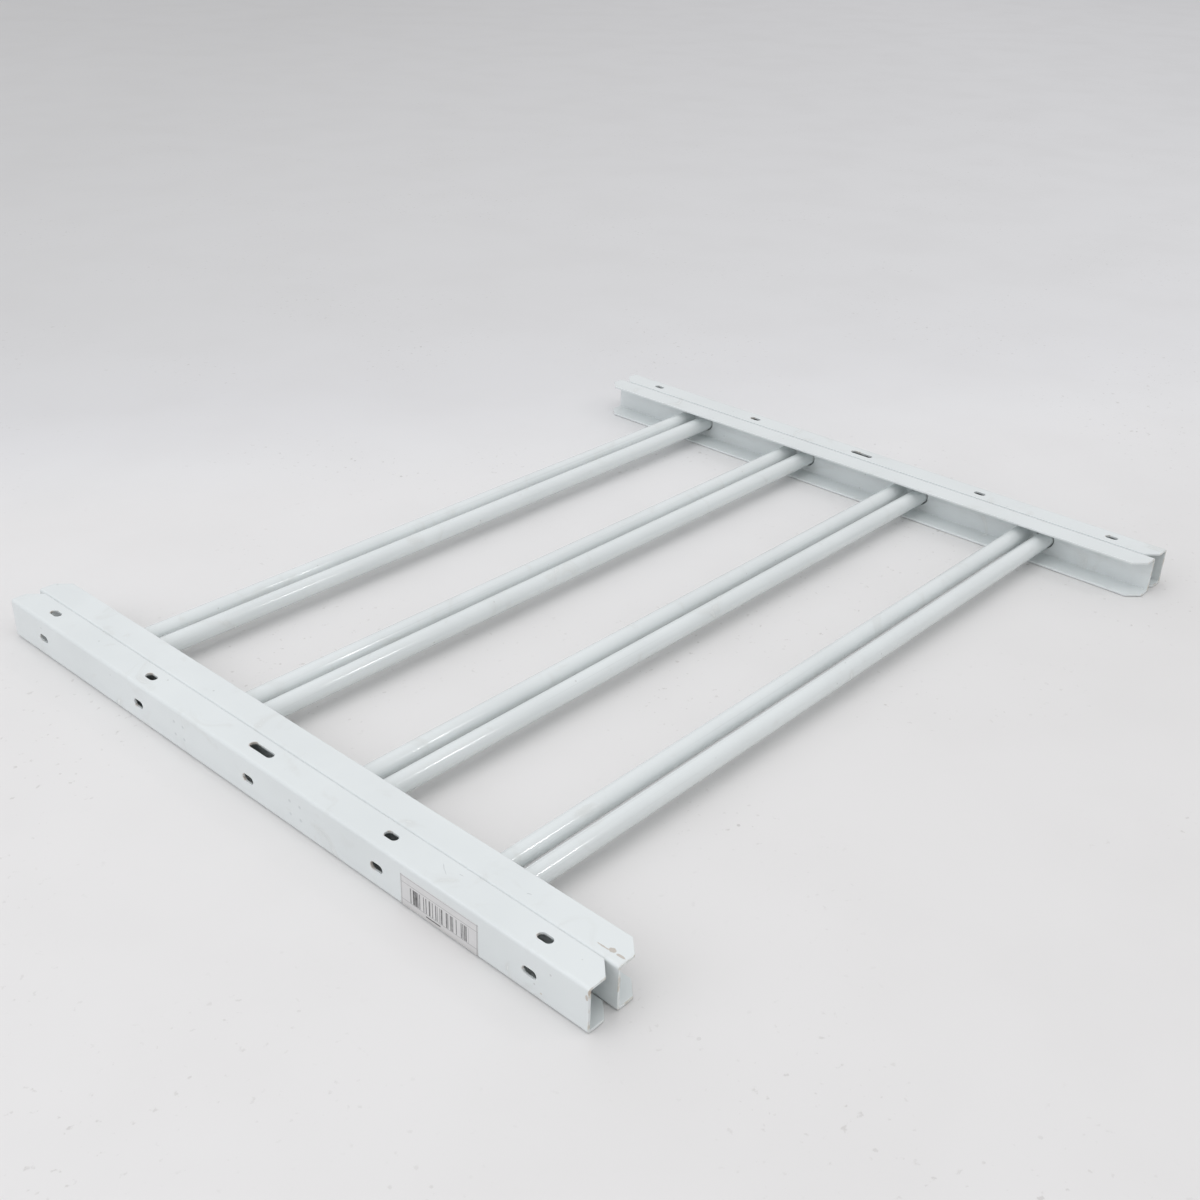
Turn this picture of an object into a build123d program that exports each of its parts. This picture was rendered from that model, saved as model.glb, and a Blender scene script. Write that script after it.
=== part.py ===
"""Telescoping four-bar window guard, lying flat and fully closed, in millimetres.

X runs along the bars, which is the way the guard widens. Y runs along the side channels.
Z is the guard's thickness, and the guard rests on Z = 0 with the origin at its middle.
Each half is a ladder: an outer channel and an inner channel with four bars welded between them.
The left half's bars are solid rods, and the right half's are tubes. Each half's bars run through
clearance holes in the other half's inner channel, so the halves slide but don't come apart.
"""

import os

from build123d import *

# Overall sizes
closed_width = 577.85  # 22 3/4 in over the outer channels' webs
guard_height = 476.25  # 18 3/4 in, the length of every channel

# Side channels, bent from sheet steel
channel_depth = 25.4  # across the web, which is the guard's thickness
flange_width = 18.3  # from the web's outer face to the flange's free edge
sheet = 1.5  # 16 gauge
inner_bend_radius = 0.3
corner_cut = 8.0  # the 45 degree cut on each flange corner
nest_gap = 0.3  # from an outer channel's flange edges to the inner channel's web
edge_round = 0.3  # the softened edge under the paint

# Screw slots, the same distances along the web and the upper flange of an outer channel
slot_count = 5
slot_end_distance = 34.925  # from the channel's end to the centre of the last slot
slot_width = 4.6
slot_length = 8.5
long_slot_length = 18.1  # the middle slot on the upper flange
flange_slot_offset = 10.1  # from the web's outer face
web_slot_height = 12.0  # above the resting face

# Bars
rod_diameter = 12.0  # solid, left half
tube_diameter = 12.0  # hollow, right half
tube_wall = 1.5
bar_gap = 4.5  # clear space between the rod and the tube of one pair
bar_clearance = 0.8  # all round a bar in its hole

# Paper label on the left outer channel
label_length = 52.0
label_top = 19.0  # above the resting face
label_end_distance = 67.0  # from the channel's near end
label_thickness = 0.15
label_wrap_angle = 35  # degrees that it follows the lower bend

# Places that follow from the sizes
outer_bend_radius = inner_bend_radius + sheet
half_width = closed_width / 2
mid_depth = channel_depth / 2
inner_web_x = half_width - flange_width - nest_gap
slot_pitch = (guard_height - 2 * slot_end_distance) / (slot_count - 1)
slot_places = [(index - (slot_count - 1) / 2) * slot_pitch for index in range(slot_count)]
pair_places = [(low + high) / 2 for low, high in zip(slot_places, slot_places[1:])]
bar_offset = (rod_diameter + tube_diameter) / 4 + bar_gap / 2
rod_places = [place + bar_offset for place in pair_places]
tube_places = [place - bar_offset for place in pair_places]
rod_hole_diameter = rod_diameter + 2 * bar_clearance
tube_hole_diameter = tube_diameter + 2 * bar_clearance
cut_depth = 2 * sheet

LEFT = -1
RIGHT = 1


def web_plane(web_x, opens, height):
    """The plane of a web's outer face, at a height above the resting face, with X along the channel."""
    return Plane(origin=(web_x, 0, height), x_dir=(0, 1, 0), z_dir=(-opens, 0, 0))


def outward(opens):
    """The axis that a channel opens along."""
    return Axis((0, 0, 0), (opens, 0, 0))


def channel_section(web_x, opens):
    """The C section of a channel whose web's outer face is at web_x."""
    section_plane = Plane(origin=(web_x, 0, 0), x_dir=(opens, 0, 0), z_dir=(0, -opens, 0))
    with BuildSketch(section_plane) as section:
        with BuildLine():
            outside = FilletPolyline(
                (flange_width, 0),
                (0, 0),
                (0, channel_depth),
                (flange_width, channel_depth),
                radius=outer_bend_radius,
            )
            inside = FilletPolyline(
                (flange_width, sheet),
                (sheet, sheet),
                (sheet, channel_depth - sheet),
                (flange_width, channel_depth - sheet),
                radius=inner_bend_radius,
            )
            Line(outside @ 0, inside @ 0)
            Line(outside @ 1, inside @ 1)
        make_face()
    return section.sketch


def web_slots(web_x, opens):
    """The row of screw slots along a web."""
    with BuildSketch(web_plane(web_x, opens, web_slot_height)) as slots:
        with Locations([(place, 0) for place in slot_places]):
            SlotOverall(slot_length, slot_width)
    return slots.sketch


def flange_slots(web_x, opens):
    """The row of screw slots along the upper flange, with a long one in the middle."""
    row_plane = Plane(origin=(web_x + opens * flange_slot_offset, 0, channel_depth), x_dir=(0, 1, 0))
    middle_place = slot_places[slot_count // 2]
    with BuildSketch(row_plane) as slots:
        with Locations([(place, 0) for place in slot_places if place != middle_place]):
            SlotOverall(slot_length, slot_width)
        with Locations((middle_place, 0)):
            SlotOverall(long_slot_length, slot_width)
    return slots.sketch


def bar_holes(web_x, opens, places, diameter):
    """The row of clearance holes that the other half's bars run through."""
    with BuildSketch(web_plane(web_x, opens, mid_depth)) as holes:
        with Locations([(place, 0) for place in places]):
            Circle(diameter / 2)
    return holes.sketch


def free_corners(channel, opens):
    """The four upright edges where a flange's free edge meets the channel's ends."""
    return channel.edges().filter_by(Axis.Z).group_by(outward(opens))[-1]


def sheared_edges(channel, opens):
    """Every edge of the sheet apart from the lines where a bend begins or ends."""
    free_face_x = channel.faces().sort_by(outward(opens))[-1].center().X
    long_edges = channel.edges().filter_by(Axis.Y).filter_by(lambda edge: edge.length > guard_height / 2)
    bend_lines = long_edges.filter_by(lambda edge: abs(edge.center().X - free_face_x) > sheet / 2)
    return channel.edges() - bend_lines


def finish(builder, name):
    """Names a finished piece and writes it."""
    builder.part.label = name
    export_step(builder.part, f"parts/{name}.step")


os.makedirs("parts", exist_ok=True)

# Left outer channel: opens to the right, screws to the left jamb
with BuildPart() as left_outer_channel:
    extrude(channel_section(-half_width, RIGHT), amount=guard_height / 2, both=True)
    chamfer(free_corners(left_outer_channel, RIGHT), corner_cut)
    extrude(web_slots(-half_width, RIGHT), amount=-cut_depth, mode=Mode.SUBTRACT)
    extrude(flange_slots(-half_width, RIGHT), amount=-cut_depth, mode=Mode.SUBTRACT)
    fillet(sheared_edges(left_outer_channel, RIGHT), edge_round)
finish(left_outer_channel, "left_outer_channel")

# Right outer channel: opens to the left, screws to the right jamb
with BuildPart() as right_outer_channel:
    extrude(channel_section(half_width, LEFT), amount=guard_height / 2, both=True)
    chamfer(free_corners(right_outer_channel, LEFT), corner_cut)
    extrude(web_slots(half_width, LEFT), amount=-cut_depth, mode=Mode.SUBTRACT)
    extrude(flange_slots(half_width, LEFT), amount=-cut_depth, mode=Mode.SUBTRACT)
    fillet(sheared_edges(right_outer_channel, LEFT), edge_round)
finish(right_outer_channel, "right_outer_channel")

# Left inner channel: carries the tubes' left ends, and the rods run through it
with BuildPart() as left_inner_channel:
    extrude(channel_section(-inner_web_x, RIGHT), amount=guard_height / 2, both=True)
    chamfer(free_corners(left_inner_channel, RIGHT), corner_cut)
    rod_holes = bar_holes(-inner_web_x, RIGHT, rod_places, rod_hole_diameter)
    extrude(rod_holes, amount=-cut_depth, mode=Mode.SUBTRACT)
    fillet(sheared_edges(left_inner_channel, RIGHT), edge_round)
finish(left_inner_channel, "left_inner_channel")

# Right inner channel: carries the rods' right ends, and the tubes run through it
with BuildPart() as right_inner_channel:
    extrude(channel_section(inner_web_x, LEFT), amount=guard_height / 2, both=True)
    chamfer(free_corners(right_inner_channel, LEFT), corner_cut)
    tube_holes = bar_holes(inner_web_x, LEFT, tube_places, tube_hole_diameter)
    extrude(tube_holes, amount=-cut_depth, mode=Mode.SUBTRACT)
    fillet(sheared_edges(right_inner_channel, LEFT), edge_round)
finish(right_inner_channel, "right_inner_channel")

# Solid rods: from the left outer channel's web to the right inner channel's web
rod_start = -half_width + sheet
rod_length = inner_web_x - sheet - rod_start
for number, place in enumerate(reversed(rod_places), start=1):
    with BuildPart() as rod:
        with BuildSketch(Plane.YZ.offset(rod_start)):
            with Locations((place, mid_depth)):
                Circle(rod_diameter / 2)
        extrude(amount=rod_length)
    finish(rod, f"solid_rod_{number}")

# Tubes: from the left inner channel's web to the right outer channel's web
tube_start = -inner_web_x + sheet
tube_length = half_width - sheet - tube_start
for number, place in enumerate(reversed(tube_places), start=1):
    with BuildPart() as tube:
        with BuildSketch(Plane.YZ.offset(tube_start)):
            with Locations((place, mid_depth)):
                Circle(tube_diameter / 2)
                Circle(tube_diameter / 2 - tube_wall, mode=Mode.SUBTRACT)
        extrude(amount=tube_length)
    finish(tube, f"tube_{number}")

# Paper label on the left outer channel's web, following the lower bend a little way
label_middle_y = -guard_height / 2 + label_end_distance + label_length / 2
label_plane = Plane(origin=(-half_width, label_middle_y, 0), x_dir=(1, 0, 0), z_dir=(0, -1, 0))
bend_centre = (outer_bend_radius, outer_bend_radius)
with BuildPart() as paper_label:
    with BuildSketch(label_plane):
        with BuildLine():
            back = Line((0, label_top), (0, outer_bend_radius))
            back_bend = CenterArc(bend_centre, outer_bend_radius, 180, label_wrap_angle)
            front = Line((-label_thickness, label_top), (-label_thickness, outer_bend_radius))
            front_bend = CenterArc(bend_centre, outer_bend_radius + label_thickness, 180, label_wrap_angle)
            Line(back @ 0, front @ 0)
            Line(back_bend @ 1, front_bend @ 1)
        make_face()
    extrude(amount=label_length / 2, both=True)
finish(paper_label, "paper_label")
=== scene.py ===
"""The telescoping window guard's looks: painted steel, welded bars, a label and a studio."""

import itertools
import math

import bpy
import numpy as np
from mathutils import Matrix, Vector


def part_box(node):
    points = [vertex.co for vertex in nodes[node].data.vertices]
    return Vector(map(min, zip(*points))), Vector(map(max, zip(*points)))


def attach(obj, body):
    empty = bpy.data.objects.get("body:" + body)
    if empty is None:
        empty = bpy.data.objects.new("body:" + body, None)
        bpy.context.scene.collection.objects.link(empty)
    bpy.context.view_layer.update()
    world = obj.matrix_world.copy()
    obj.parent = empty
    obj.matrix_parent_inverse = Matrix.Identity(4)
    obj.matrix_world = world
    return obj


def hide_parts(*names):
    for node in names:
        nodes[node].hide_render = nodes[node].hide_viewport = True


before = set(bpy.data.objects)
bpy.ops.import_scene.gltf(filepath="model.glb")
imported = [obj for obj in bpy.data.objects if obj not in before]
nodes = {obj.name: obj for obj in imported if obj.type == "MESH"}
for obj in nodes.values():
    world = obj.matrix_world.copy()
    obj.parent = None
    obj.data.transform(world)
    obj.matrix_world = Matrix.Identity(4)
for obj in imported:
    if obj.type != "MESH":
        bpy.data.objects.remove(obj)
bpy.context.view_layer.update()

MM = 0.001

# The guard's own places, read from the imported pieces
outer_low, outer_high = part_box("left_outer_channel")
label_low, label_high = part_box("paper_label")
WEB_X = -outer_low.x
SHEET = 1.5 * MM
CHANNEL_DEPTH = outer_high.z
CHANNEL_END_Y = outer_high.y
NEAR_END = -CHANNEL_END_Y
SLOT_PITCH = 101.6 * MM
SLOT_WIDTH = 4.6 * MM
SLOT_HALF_STRAIGHT = (8.5 - 4.6) / 2 * MM
LONG_SLOT_HALF_STRAIGHT = (18.1 - 4.6) / 2 * MM
FLANGE_SLOT_X = WEB_X - 10.1 * MM
WEB_SLOT_Z = 12.0 * MM
RIM_WIDTH = 0.42 * MM  # how far a slot rim's rust reaches over the paint
GRIME = 0.22  # how strong the channels' and bars' handling grime is at its most
SKIN_DEPTH = 1.9 * MM  # a little over the sheet, so that a slot's cut face counts as its wall


# ---------------------------------------------------------------- node tools


def linear(hex_code):
    """Turns an sRGB hex colour into the linear colour that a socket takes."""
    parts = np.array([int(hex_code[i : i + 2], 16) for i in (1, 3, 5)]) / 255
    curve = np.where(parts <= 0.04045, parts / 12.92, ((parts + 0.055) / 1.055) ** 2.4)
    return (*curve.tolist(), 1.0)


def add(tree, kind, inputs=None, **settings):
    """Adds a node with its settings, then gives each input a value or a link.

    A link comes from a socket, or from the first live output of a node.
    """
    node = tree.nodes.new("ShaderNode" + kind)
    for name, value in settings.items():
        setattr(node, name, value)
    for name, value in (inputs or {}).items():
        if isinstance(value, bpy.types.Node):
            value = next(output for output in value.outputs if output.enabled)
        if isinstance(value, bpy.types.NodeSocket):
            tree.links.new(value, node.inputs[name])
        else:
            node.inputs[name].default_value = value
    return node


def new_material(name):
    """An empty material: its tree, and the output its shader goes to."""
    material = bpy.data.materials.new(name)
    material.use_nodes = True
    material.node_tree.nodes.clear()
    return material, material.node_tree, add(material.node_tree, "OutputMaterial")


# ---------------------------------------------------------------- patterns of the finishes


def blot(tree, place, rough, centre, size, strength, turn=0.0):
    """strength inside a ragged ellipsoid, and 0 outside it.

    The distance from the centre, counted in the ellipsoid's sizes, has noise added and is cut off.
    The ellipsoid is turned about Z by turn degrees.
    """
    local = add(
        tree,
        "Mapping",
        {0: place, 1: centre, 2: (0.0, 0.0, math.radians(turn)), 3: size},
        vector_type="TEXTURE",
    )
    distance = add(tree, "VectorMath", {0: local}, operation="LENGTH")
    ragged = add(tree, "Math", {0: rough, 1: 1.1, 2: distance}, operation="MULTIPLY_ADD")
    return add(
        tree,
        "MapRange",
        {0: ragged, 1: 1.65, 2: 1.35, 4: strength},
        interpolation_type="SMOOTHSTEP",
    )


def slot_rim(tree, along, across, half_straight):
    """1 within RIM_WIDTH of the rim of the nearest slot in a row, else 0, and the place along it.

    The distance from an obround is that from the segment between its two centres, less its radius.
    """
    wrapped = add(tree, "Math", {0: along, 1: SLOT_PITCH / 2, 2: -SLOT_PITCH / 2}, operation="WRAP")
    folded = add(tree, "Math", {0: wrapped}, operation="ABSOLUTE")
    past = add(tree, "Math", {0: folded, 1: half_straight}, operation="SUBTRACT")
    past = add(tree, "Math", {0: past, 1: 0.0}, operation="MAXIMUM")
    pair = add(tree, "CombineXYZ", {0: past, 1: across})
    from_centre = add(tree, "VectorMath", {0: pair}, operation="LENGTH")
    rim = add(tree, "Math", {0: from_centre, 1: SLOT_WIDTH / 2, 2: RIM_WIDTH}, operation="COMPARE")
    return rim, wrapped


# ---------------------------------------------------------------- materials


def end_wear(tree, place, y):
    """Where the film is thin on the cut ends of a channel, and where it is gone to bare steel."""
    from_middle = add(tree, "Math", {0: y}, operation="ABSOLUTE")
    end_mask = add(
        tree,
        "MapRange",
        {0: from_middle, 1: CHANNEL_END_Y - 0.45 * MM, 2: CHANNEL_END_Y - 0.15 * MM},
        interpolation_type="SMOOTHSTEP",
    )
    wear = add(tree, "TexNoise", {"Vector": place, "Scale": 160.0, "Detail": 4.0})
    thin = add(
        tree, "MapRange", {0: wear, 1: 0.42, 2: 0.62, 4: 0.7}, interpolation_type="SMOOTHSTEP"
    )
    gone = add(
        tree, "MapRange", {0: wear, 1: 0.66, 2: 0.72, 4: 0.5}, interpolation_type="SMOOTHSTEP"
    )
    thin = add(tree, "Math", {0: thin, 1: end_mask}, operation="MULTIPLY")
    gone = add(tree, "Math", {0: gone, 1: end_mask}, operation="MULTIPLY")
    return thin, gone


def slot_rust(tree, place, x, y, z):
    """Rust at the rims of an outer channel's slots, on their far side and broken up by noise."""
    across_x = add(tree, "Math", {0: x}, operation="ABSOLUTE")

    # The upper flange's row, with its long middle slot
    on_flange = add(
        tree, "Math", {0: z, 1: CHANNEL_DEPTH - SKIN_DEPTH}, operation="GREATER_THAN"
    )
    long_one = add(tree, "Math", {0: y, 1: 0.0, 2: SLOT_PITCH / 2}, operation="COMPARE")
    half_straight = add(
        tree, "MapRange", {0: long_one, 3: SLOT_HALF_STRAIGHT, 4: LONG_SLOT_HALF_STRAIGHT}
    )
    flange_across = add(tree, "Math", {0: across_x, 1: FLANGE_SLOT_X}, operation="SUBTRACT")
    flange_rim, _ = slot_rim(tree, y, flange_across, half_straight)
    flange_rim = add(tree, "Math", {0: flange_rim, 1: on_flange}, operation="MULTIPLY")

    # The web's row
    on_web = add(tree, "Math", {0: across_x, 1: WEB_X - SKIN_DEPTH}, operation="GREATER_THAN")
    web_across = add(tree, "Math", {0: z, 1: WEB_SLOT_Z}, operation="SUBTRACT")
    web_rim, slot_along = slot_rim(tree, y, web_across, SLOT_HALF_STRAIGHT)
    web_rim = add(tree, "Math", {0: web_rim, 1: on_web}, operation="MULTIPLY")

    far_side = add(
        tree,
        "MapRange",
        {0: slot_along, 1: 0.5 * MM, 2: 3.5 * MM, 4: 0.5},
        interpolation_type="SMOOTHSTEP",
    )
    broken = add(tree, "TexNoise", {"Vector": place, "Scale": 260.0, "Detail": 2.0})
    broken = add(
        tree, "MapRange", {0: broken, 1: 0.44, 2: 0.56}, interpolation_type="SMOOTHSTEP"
    )
    rust = add(tree, "Math", {0: flange_rim, 1: web_rim}, operation="MAXIMUM")
    rust = add(tree, "Math", {0: rust, 1: far_side}, operation="MULTIPLY")
    return add(tree, "Math", {0: rust, 1: broken}, operation="MULTIPLY")


def weld_dents(tree, place, weld_marks):
    """Electrode dents in the left web: two by two, 8 mm apart, each about 2 mm across."""
    dents = 0.0
    for centre_y, centre_z in weld_marks:
        for side_y, side_z in itertools.product((-4.1 * MM, 4.1 * MM), (-4.0 * MM, 4.0 * MM)):
            centre = (-WEB_X, centre_y + side_y, centre_z + side_z)
            local = add(
                tree,
                "Mapping",
                {0: place, 1: centre, 3: (2 * MM, 1.35 * MM, 1.2 * MM)},
                vector_type="TEXTURE",
            )
            reach = add(tree, "VectorMath", {0: local}, operation="LENGTH")
            dent = add(
                tree, "MapRange", {0: reach, 1: 1.15, 2: 0.25}, interpolation_type="SMOOTHSTEP"
            )
            dents = add(tree, "Math", {0: dent, 1: dents}, operation="MAXIMUM")
    return dents


def powder_coat(name, slots=False, chips=(), scuffs=(), weld_marks=(), rubbed=False):
    """White polyester powder coat, sprayed and baked: cool glossy white, faint orange peel.

    slots adds rust at the cut rims of an outer channel's slots, chips are places where the coat is
    knocked off the steel, scuffs are grey scrapes in the coat, and weld_marks are dents seen
    through it, painted a darker grey as shade in them. rubbed makes it a bar's coat: glossier, with
    slide marks and no cut ends.
    """
    material, tree, output = new_material(name)
    place = add(tree, "TexCoord").outputs["Object"]
    x, y, z = add(tree, "SeparateXYZ", {0: place}).outputs

    # Uneven film: broad clouds of a slightly thinner coat, 70 mm across
    cloud = add(tree, "TexNoise", {"Vector": place, "Scale": 14.0, "Detail": 3.0})
    cloud_mask = add(tree, "MapRange", {0: cloud, 1: 0.35, 2: 0.7}, interpolation_type="SMOOTHSTEP")
    colour = add(
        tree, "Mix", {0: cloud_mask, 6: linear("#E5EAEA"), 7: linear("#E0E5E5")}, data_type="RGBA"
    )

    # Handling grime: faint grey-brown smears, 25 mm across, in patches
    smear = add(
        tree, "TexNoise", {"Vector": place, "Scale": 42.0, "Detail": 6.0, "Distortion": 1.2}
    )
    smear_mask = add(
        tree, "MapRange", {0: smear, 1: 0.56, 2: 0.78, 4: GRIME}, interpolation_type="SMOOTHSTEP"
    )
    colour = add(tree, "Mix", {0: smear_mask, 6: colour, 7: linear("#BDB9B0")}, data_type="RGBA")

    # Dust nibs baked into the film, 0.6 mm, one to about 15 mm: twice as coarse as real, to show
    nib = add(tree, "TexVoronoi", {"Vector": place, "Scale": 70.0})
    nib_mask = add(
        tree, "MapRange", {0: nib, 1: 0.055, 2: 0.03, 4: 0.28}, interpolation_type="SMOOTHSTEP"
    )
    colour = add(tree, "Mix", {0: nib_mask, 6: colour, 7: linear("#8C8A85")}, data_type="RGBA")

    # Knocked and scraped places, their edges ragged by a 1.6 mm grain
    rough = add(tree, "TexNoise", {"Vector": place, "Scale": 620.0, "Detail": 3.0})
    bare = 0.0
    for centre, size in chips:
        chip = blot(tree, place, rough, centre, size, 0.55)
        bare = add(tree, "Math", {0: chip, 1: bare}, operation="MAXIMUM")
    for centre, size, turn in scuffs:
        scuff = blot(tree, place, rough, centre, size, 0.4, turn)
        colour = add(tree, "Mix", {0: scuff, 6: colour, 7: linear("#A3A5A6")}, data_type="RGBA")

    # Sheared ends: a cream line where the film is thin
    if not rubbed:
        thin, gone = end_wear(tree, place, y)
        colour = add(tree, "Mix", {0: thin, 6: colour, 7: linear("#C6BEAE")}, data_type="RGBA")
        bare = add(tree, "Math", {0: gone, 1: bare}, operation="MAXIMUM")
    if slots:
        rust = slot_rust(tree, place, x, y, z)
        bare = add(tree, "Math", {0: rust, 1: bare}, operation="MAXIMUM")

    dents = weld_dents(tree, place, weld_marks)
    if weld_marks:
        # The dents are painted a darker grey: painted shade in them
        dent_painted_shade = add(tree, "Math", {0: dents, 1: 0.34}, operation="MULTIPLY")
        colour = add(tree, "Mix", {0: dent_painted_shade, 6: colour, 7: linear("#A9ADB1")}, data_type="RGBA")

    # Slide marks: hairlines along the bar where the holes have dragged over the coat
    if rubbed:
        stretched = add(tree, "Mapping", {0: place, 3: (3.0, 900.0, 900.0)})
        hairline = add(tree, "TexNoise", {"Vector": stretched, "Scale": 1.0, "Detail": 2.0})
        hairline = add(
            tree,
            "MapRange",
            {0: hairline, 1: 0.62, 2: 0.72, 4: 0.1},
            interpolation_type="SMOOTHSTEP",
        )
        colour = add(tree, "Mix", {0: hairline, 6: colour, 7: linear("#9FA2A3")}, data_type="RGBA")

    # Bare steel that has rusted brown
    rust_shade = add(tree, "TexNoise", {"Vector": place, "Scale": 900.0, "Detail": 2.0})
    rust = add(
        tree, "Mix", {0: rust_shade, 6: linear("#8A6F58"), 7: linear("#BCA98F")}, data_type="RGBA"
    )
    colour = add(tree, "Mix", {0: bare, 6: colour, 7: rust}, data_type="RGBA")

    # Gloss: a bar's coat is rubbed glossier, grime dulls it and rust has none
    low_roughness, high_roughness = (0.07, 0.11) if rubbed else (0.10, 0.15)
    roughness = add(
        tree, "MapRange", {0: cloud, 1: 0.3, 2: 0.7, 3: low_roughness, 4: high_roughness}
    )
    roughness = add(tree, "MapRange", {0: smear_mask, 1: 0.0, 2: GRIME, 3: roughness, 4: 0.34})
    roughness = add(tree, "MapRange", {0: bare, 3: roughness, 4: 0.8})

    # Orange peel: 3.5 mm swells of 0.02 mm, with the chips and dents sunk into that skin
    peel = add(tree, "TexNoise", {"Vector": place, "Scale": 290.0, "Detail": 2.0})
    peel_strength = 0.2 if rubbed else 0.5
    skin = add(tree, "Bump", {"Strength": peel_strength, "Distance": 0.02 * MM, "Height": peel})
    pit = add(tree, "Math", {0: bare, 1: dents}, operation="MAXIMUM")
    normal = add(
        tree,
        "Bump",
        {"Strength": 0.8, "Distance": 0.12 * MM, "Height": pit, "Normal": skin},
        invert=True,
    )
    shader = add(
        tree,
        "BsdfPrincipled",
        {
            "Base Color": colour,
            "Roughness": roughness,
            "Normal": normal,
            "Metallic": 0.0,
            "IOR": 1.52,
        },
    )
    tree.links.new(shader.outputs[0], output.inputs[0])
    return material


def label_paper(name):
    """Uncoated white label paper with plain thermal print: grey-white and matt.

    The print is rules and stripes, with no lettering and no readable code.
    """
    material, tree, output = new_material(name)
    place = add(tree, "TexCoord").outputs["Object"]
    _, y, z = add(tree, "SeparateXYZ", {0: place}).outputs
    middle = (label_low.y + label_high.y) / 2

    # Paper: 3 mm fibre clouds, and darker towards its lower edge
    fibre = add(tree, "TexNoise", {"Vector": place, "Scale": 330.0, "Detail": 5.0})
    colour = add(
        tree, "Mix", {0: fibre, 6: linear("#E0DFDE"), 7: linear("#D6D6D6")}, data_type="RGBA"
    )
    lower_edge_darkening = add(
        tree, "MapRange", {0: z, 1: 6.0 * MM, 2: 1.0 * MM, 4: 0.45}, interpolation_type="SMOOTHSTEP"
    )
    colour = add(tree, "Mix", {0: lower_edge_darkening, 6: colour, 7: linear("#BFBDBA")}, data_type="RGBA")

    # Frame and rules, as thin grey lines: each is an axis, a place on it and a half width
    end_half, rule_half = 0.35 * MM, 0.22 * MM
    lines = 0.0
    for axis, line_place, half_width in (
        (y, label_low.y + 0.5 * MM, end_half),
        (y, label_high.y - 0.5 * MM, end_half),
        (z, label_high.z - 0.45 * MM, rule_half),
        (z, 15.0 * MM, rule_half),
        (z, 4.8 * MM, rule_half),
    ):
        line = add(tree, "Math", {0: axis, 1: line_place, 2: half_width}, operation="COMPARE")
        lines = add(tree, "Math", {0: line, 1: lines}, operation="MAXIMUM")
    lines = add(tree, "Math", {0: lines, 1: 0.30}, operation="MULTIPLY")

    # Stripes: each 0.55 mm step is inked or not by a hash of its number, so they spell nothing
    least_inked = 0.46
    from_end = add(tree, "Math", {0: y, 1: label_low.y}, operation="SUBTRACT")
    step = add(tree, "Math", {0: from_end, 1: 0.55 * MM}, operation="DIVIDE")
    step = add(tree, "Math", {0: step}, operation="FLOOR")
    chance = add(tree, "TexWhiteNoise", {"W": step}, noise_dimensions="1D")
    stripes = add(tree, "Math", {0: chance, 1: least_inked}, operation="GREATER_THAN")
    depth = add(tree, "MapRange", {0: chance, 1: least_inked, 2: 0.85, 3: 0.45, 4: 1.0})
    wear = add(tree, "TexNoise", {"Vector": place, "Scale": 480.0, "Detail": 4.0})
    fading = add(tree, "MapRange", {0: wear, 1: 0.3, 2: 0.7, 3: 0.68, 4: 1.0})
    along = add(tree, "Math", {0: y, 1: middle - 0.3 * MM, 2: 19.8 * MM}, operation="COMPARE")
    up = add(tree, "Math", {0: z, 1: 9.5 * MM, 2: 4.4 * MM}, operation="COMPARE")
    for part in (depth, fading, along, up):
        stripes = add(tree, "Math", {0: stripes, 1: part}, operation="MULTIPLY")

    # A short heavy rule below the stripes
    along = add(tree, "Math", {0: y, 1: middle + 3.7 * MM, 2: 4.9 * MM}, operation="COMPARE")
    up = add(tree, "Math", {0: z, 1: 3.2 * MM, 2: 0.38 * MM}, operation="COMPARE")
    rule = add(tree, "Math", {0: along, 1: up}, operation="MULTIPLY")
    rule = add(tree, "Math", {0: rule, 1: 0.85}, operation="MULTIPLY")

    ink = add(tree, "Math", {0: lines, 1: stripes}, operation="MAXIMUM")
    ink = add(tree, "Math", {0: ink, 1: rule}, operation="MAXIMUM")
    colour = add(tree, "Mix", {0: ink, 6: colour, 7: linear("#3A3839")}, data_type="RGBA")
    bump = add(tree, "Bump", {"Strength": 0.5, "Distance": 0.03 * MM, "Height": fibre})
    shader = add(
        tree,
        "BsdfPrincipled",
        {"Base Color": colour, "Roughness": 0.62, "Normal": bump, "IOR": 1.45},
    )
    tree.links.new(shader.outputs[0], output.inputs[0])
    return material


# Knocked places, on the left outer channel's near end and the left inner channel's upper flange:
# each is a centre and the size of its ellipsoid, and a scuff has a turn in degrees too
outer_chips = [
    ((-WEB_X, NEAR_END + 1.3 * MM, 19.9 * MM), (1.2 * MM, 0.9 * MM, 1.6 * MM)),
    ((-WEB_X + 0.4 * MM, NEAR_END + 0.1 * MM, 23.2 * MM), (0.9 * MM, 0.6 * MM, 1.3 * MM)),
    ((-WEB_X, NEAR_END + 27.6 * MM, 4.8 * MM), (0.8 * MM, 0.55 * MM, 0.4 * MM)),
]
outer_scuffs = [
    ((-277.2 * MM, -136.4 * MM, CHANNEL_DEPTH), (0.22 * MM, 2.6 * MM, 1.0 * MM), -38),
    ((-279.3 * MM, -139.8 * MM, CHANNEL_DEPTH), (0.2 * MM, 1.9 * MM, 1.0 * MM), -30),
    ((-275.6 * MM, -146.5 * MM, CHANNEL_DEPTH), (0.22 * MM, 1.4 * MM, 1.0 * MM), 8),
]
inner_chips = [
    ((-264.4 * MM, NEAR_END + 8.7 * MM, CHANNEL_DEPTH), (1.5 * MM, 2.0 * MM, 1.0 * MM)),
    ((-265.4 * MM, NEAR_END + 13.5 * MM, CHANNEL_DEPTH), (0.45 * MM, 3.6 * MM, 1.0 * MM)),
    ((-264.9 * MM, NEAR_END + 3.6 * MM, CHANNEL_DEPTH), (0.75 * MM, 2.6 * MM, 1.0 * MM)),
]
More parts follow.
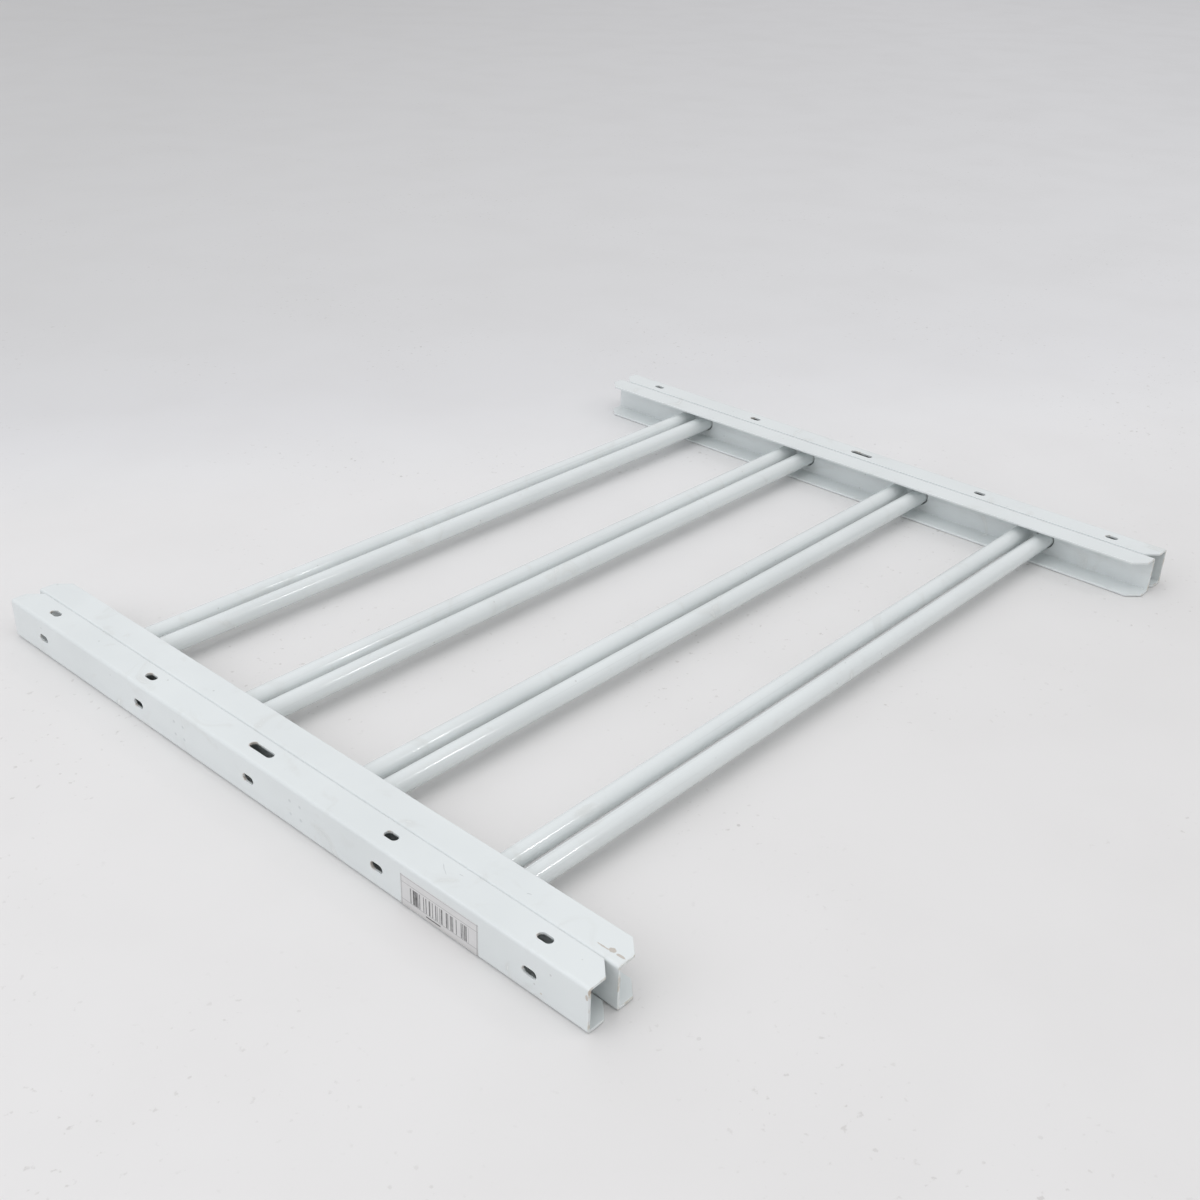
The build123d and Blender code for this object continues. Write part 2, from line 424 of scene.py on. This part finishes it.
inner_scuffs = [((-263.3 * MM, -177.7 * MM, CHANNEL_DEPTH), (0.3 * MM, 1.3 * MM, 1.0 * MM), 20)]
# Centres of the dent groups along the left outer channel's web: Y, Z
weld_marks = [(62.0 * MM, 12.8 * MM), (-39.2 * MM, 12.6 * MM)]

finishes = {
    "left_outer_channel": powder_coat(
        "powder_coated_steel_slotted_left",
        slots=True,
        chips=outer_chips,
        scuffs=outer_scuffs,
        weld_marks=weld_marks,
    ),
    "right_outer_channel": powder_coat("powder_coated_steel_slotted_right", slots=True),
    "left_inner_channel": powder_coat(
        "powder_coated_steel_chipped", chips=inner_chips, scuffs=inner_scuffs
    ),
    "right_inner_channel": powder_coat("powder_coated_steel"),
    "paper_label": label_paper("printed_label_paper"),
}
for node_name, finish in finishes.items():
    nodes[node_name].material_slots[0].material = finish
bar_coat = powder_coat("powder_coated_bar", rubbed=True)


# ---------------------------------------------------------------- bars


def bar_surface(name, node_name, body, hollow, seed):
    """A bar as a profile of radii turned about its own line.

    At distance d from a welded end the radius is r + rise * (1 - d / reach)^2, which is the small
    upset and paint fillet there. Elsewhere the film's swells add less than a hundredth of a
    millimetre, and fade to nothing at the ends. A tube's profile goes back along its bore, so the
    grid closes on itself. A rod's ends close on a point each.
    """
    low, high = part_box(node_name)
    centre_y, centre_z = (low.y + high.y) / 2, (low.z + high.z) / 2
    radius = (high.z - low.z) / 2
    rise, reach = 0.9 * MM, 1.5 * MM
    inset = 0.03 * MM  # keeps the swells inside the bar's own box
    swell_height = 0.004 * MM
    around = 96
    rng = np.random.default_rng(seed)
    length = high.x - low.x
    near_end = reach * np.linspace(0, 1, 9)
    between = np.linspace(reach, length - reach, 121)[1:-1]
    stations = np.concatenate([near_end, between, (length - near_end)[::-1]])
    angle = np.linspace(0, 2 * math.pi, around, endpoint=False)
    from_end = np.minimum(stations, length - stations)[:, None]
    fillet = rise * np.clip(1 - from_end / reach, 0, 1) ** 2
    phase = rng.uniform(0, 2 * math.pi, 6)
    lumps = 1 + 0.13 * np.sin(3 * angle + phase[0]) + 0.08 * np.sin(7 * angle + phase[1])
    swell = (
        np.sin(stations[:, None] / (47 * MM) + phase[2])
        + np.sin(stations[:, None] / (19 * MM) + 2 * angle + phase[3])
    ) * swell_height
    settle = np.clip((from_end - reach) / (20 * MM), 0, 1)
    outside = radius - inset + fillet * lumps + swell * settle
    ring_x = np.repeat(stations[:, None], around, 1)
    if hollow:
        bore = np.full((2, around), radius - SHEET)
        outside = np.concatenate([outside, bore])
        ring_x = np.concatenate([ring_x, np.full((1, around), length), np.zeros((1, around))])
    points = np.stack(
        [
            low.x + ring_x,
            centre_y + outside * np.sin(angle),
            centre_z + outside * np.cos(angle),
        ],
        -1,
    ).reshape(-1, 3)
    rings = len(ring_x)
    first = np.arange(rings if hollow else rings - 1)[:, None]
    second = (first + 1) % rings
    here = np.arange(around)[None, :]
    after = (here + 1) % around
    quads = np.stack(
        [
            first * around + here,
            second * around + here,
            second * around + after,
            first * around + after,
        ],
        -1,
    ).reshape(-1, 4)
    faces = quads.tolist()
    if not hollow:
        poles = [[low.x, centre_y, centre_z], [high.x, centre_y, centre_z]]
        points = np.concatenate([points, poles])
        start_pole, end_pole = len(points) - 2, len(points) - 1
        last = (rings - 1) * around
        ring = np.arange(around)
        turned = (ring + 1) % around
        faces += np.stack([ring, turned, np.full(around, start_pole)], -1).tolist()
        faces += np.stack([last + turned, last + ring, np.full(around, end_pole)], -1).tolist()
    mesh = bpy.data.meshes.new(name)
    mesh.from_pydata(points.tolist(), [], faces)
    mesh.polygons.foreach_set("use_smooth", np.ones(len(mesh.polygons), bool))
    mesh.materials.append(bar_coat)
    mesh.update()
    bar = bpy.data.objects.new(name, mesh)
    bpy.context.scene.collection.objects.link(bar)
    mesh.set_sharp_from_angle(angle=math.radians(40))
    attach(bar, body)
    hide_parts(node_name)


for number in range(1, 5):
    bar_surface(f"welded_rod_{number}", f"solid_rod_{number}", "left_half", False, number)
    bar_surface(f"welded_tube_{number}", f"tube_{number}", "right_half", True, 10 + number)


# ---------------------------------------------------------------- floor, light and camera


def studio_floor():
    """A pale floor, with painted shade: greyer past a soft line behind the guard, where the sweep
    begins.
    """
    material, tree, output = new_material("studio_floor_paint_and_shade")
    place = add(tree, "TexCoord").outputs["Object"]

    # Metres past a line on the floor in front of the guard, and metres to the right of its middle
    beyond = add(tree, "VectorMath", {0: place, 1: (0.565, 0.872, 0.0)}, operation="DOT_PRODUCT")
    beyond = add(tree, "Math", {0: beyond, 1: 0.822}, operation="ADD")
    across = add(tree, "VectorMath", {0: place, 1: (0.662, -0.750, 0.0)}, operation="DOT_PRODUCT")

    # Painted shade: the floor's greys, as shares of 4.5 m beyond the line
    share = add(tree, "Math", {0: beyond, 1: 4.5}, operation="DIVIDE")
    shade = add(tree, "ValToRGB", {0: share})
    stops = [
        (0.000, "#E6E5E4"),
        (0.230, "#E6E5E4"),
        (0.247, "#E3E3E3"),
        (0.264, "#DDDDDE"),
        (0.280, "#D8D8D9"),
        (0.340, "#D4D4D4"),
        (0.430, "#D7D7D7"),
        (0.700, "#DCDCDC"),
    ]
    elements = shade.color_ramp.elements
    while len(elements) < len(stops):
        elements.new(0.5)
    for element, (at, hex_code) in zip(elements, stops):
        element.position = at
        element.color = linear(hex_code)

    # Painted light: where the sweep begins, the floor is paler to the right than to the left
    painted_light_right = add(tree, "MapRange", {0: across, 1: -0.8, 2: 0.8, 3: 0.0, 4: 0.75})
    past = add(tree, "MapRange", {0: beyond, 1: 0.7, 2: 1.15}, interpolation_type="SMOOTHSTEP")
    painted_light_right = add(tree, "Math", {0: painted_light_right, 1: past}, operation="MULTIPLY")
    colour = add(tree, "Mix", {0: painted_light_right, 6: shade, 7: linear("#F0F0F1")}, data_type="RGBA")

    # Painted shade: the floor greys out towards the horizon
    radius = add(tree, "VectorMath", {0: place}, operation="LENGTH")
    horizon_shade = add(tree, "MapRange", {0: radius, 1: 3.2, 2: 8.5}, interpolation_type="SMOOTHSTEP")
    colour = add(tree, "Mix", {0: horizon_shade, 6: colour, 7: linear("#C2C2C3")}, data_type="RGBA")

    # Grit and scuffs, 2 to 6 mm, in loose patches
    grit = add(tree, "TexNoise", {"Vector": place, "Scale": 210.0, "Detail": 4.0})
    patch = add(tree, "TexNoise", {"Vector": place, "Scale": 5.0, "Detail": 2.0})
    grit_mask = add(
        tree, "MapRange", {0: grit, 1: 0.64, 2: 0.73, 4: 0.28}, interpolation_type="SMOOTHSTEP"
    )
    dirty = add(tree, "MapRange", {0: patch, 1: 0.44, 2: 0.62}, interpolation_type="SMOOTHSTEP")
    grit_mask = add(tree, "Math", {0: grit_mask, 1: dirty}, operation="MULTIPLY")
    colour = add(tree, "Mix", {0: grit_mask, 6: colour, 7: linear("#8F8980")}, data_type="RGBA")

    # Dirt specks, 1 to 2 mm, one to about 30 mm where the patches are
    speck = add(tree, "TexVoronoi", {"Vector": place, "Scale": 36.0})
    ragged = add(tree, "Math", {0: grit, 1: 0.09, 2: speck}, operation="MULTIPLY_ADD")
    speck_mask = add(
        tree, "MapRange", {0: ragged, 1: 0.085, 2: 0.068, 4: 0.4}, interpolation_type="SMOOTHSTEP"
    )
    speck_mask = add(tree, "Math", {0: speck_mask, 1: dirty}, operation="MULTIPLY")
    colour = add(tree, "Mix", {0: speck_mask, 6: colour, 7: linear("#8F8A84")}, data_type="RGBA")

    # Roller clouds, 110 mm
    cloud = add(tree, "TexNoise", {"Vector": place, "Scale": 9.0, "Detail": 4.0})
    cloud_mask = add(
        tree, "MapRange", {0: cloud, 1: 0.35, 2: 0.75, 4: 0.06}, interpolation_type="SMOOTHSTEP"
    )
    colour = add(tree, "Mix", {0: cloud_mask, 6: colour, 7: linear("#B9B6B2")}, data_type="RGBA")
    shader = add(tree, "BsdfPrincipled", {"Base Color": colour, "Roughness": 0.6})
    tree.links.new(shader.outputs[0], output.inputs[0])

    mesh = bpy.data.meshes.new("studio_floor")
    half = 9.0
    level = -0.4 * MM  # just under the guard, for the thin dark line along its lower edges
    corners = [(-half, -half), (half, -half), (half, half), (-half, half)]
    corners = [(corner_x, corner_y, level) for corner_x, corner_y in corners]
    mesh.from_pydata(corners, [], [(0, 1, 2, 3)])
    mesh.materials.append(material)
    floor = bpy.data.objects.new("studio_floor", mesh)
    bpy.context.scene.collection.objects.link(floor)


studio_floor()


def softbox(name, position, target, width, height, power, hex_code):
    """A rectangular studio light at position, facing target."""
    data = bpy.data.lights.new(name, "AREA")
    data.shape = "RECTANGLE"
    data.size, data.size_y = width, height
    data.energy = power
    data.color = linear(hex_code)[:3]
    light = bpy.data.objects.new(name, data)
    bpy.context.scene.collection.objects.link(light)
    back = np.array(position) - np.array(target)
    side = np.cross([0, 0, 1], back)
    side /= np.linalg.norm(side)
    back /= np.linalg.norm(back)
    up = np.cross(back, side)
    turn = np.eye(4)
    turn[:3, 0], turn[:3, 1], turn[:3, 2], turn[:3, 3] = side, up, back, position
    light.matrix_world = Matrix(turn.tolist())


softbox("overhead_softbox", (-0.6, -0.1, 2.4), (-0.1, 0.0, 0.0), 2.4, 2.4, 16.8, "#FFFFFF")
softbox("left_softbox", (-1.9, 0.6, 1.15), (-0.2, 0.0, 0.0), 1.6, 1.2, 7.4, "#F5F7FF")
softbox("side_softbox", (1.22, -1.51, 1.65), (-0.23, -0.15, 0.02), 0.15, 0.15, 2.1, "#FFFFFF")

world = bpy.data.worlds.new("studio_room")
bpy.context.scene.world = world
world.use_nodes = True
world.node_tree.nodes.clear()
world_out = add(world.node_tree, "OutputWorld")
# The room is dimmer round the horizon than overhead
heading = add(world.node_tree, "TexCoord").outputs["Generated"]
height = add(world.node_tree, "SeparateXYZ", {0: heading}).outputs["Z"]
glow = add(
    world.node_tree,
    "MapRange",
    {0: height, 1: 0.0, 2: 0.5, 3: 0.46, 4: 0.715},
    interpolation_type="SMOOTHSTEP",
)
room = add(world.node_tree, "Background", {"Color": linear("#FDFDFF"), "Strength": glow})
world.node_tree.links.new(room.outputs[0], world_out.inputs[0])

# Camera, in degrees: it looks down on the guard from beyond its near left corner
azimuth, elevation, roll = (math.radians(a) for a in (-48.5697, 28.6471, 1.7460))
back = np.array(
    [
        math.sin(azimuth) * math.cos(elevation),
        -math.cos(azimuth) * math.cos(elevation),
        math.sin(elevation),
    ]
)
right = np.array([math.cos(azimuth), math.sin(azimuth), 0.0])
up = np.cross(back, right)
rolled_right = math.cos(roll) * right + math.sin(roll) * up
rolled_up = math.cos(roll) * up - math.sin(roll) * right
camera_place = np.eye(4)
camera_place[:3, 0], camera_place[:3, 1], camera_place[:3, 2] = rolled_right, rolled_up, back
camera_place[:3, 3] = (-0.624742, -0.533929, 0.453852)
camera_data = bpy.data.cameras.new("camera")
camera_data.sensor_width = 36.0
camera_data.lens = 43.344
camera = bpy.data.objects.new("camera", camera_data)
bpy.context.scene.collection.objects.link(camera)
camera.matrix_world = Matrix(camera_place.tolist())
bpy.context.scene.camera = camera
bpy.context.scene.view_settings.view_transform = "Standard"
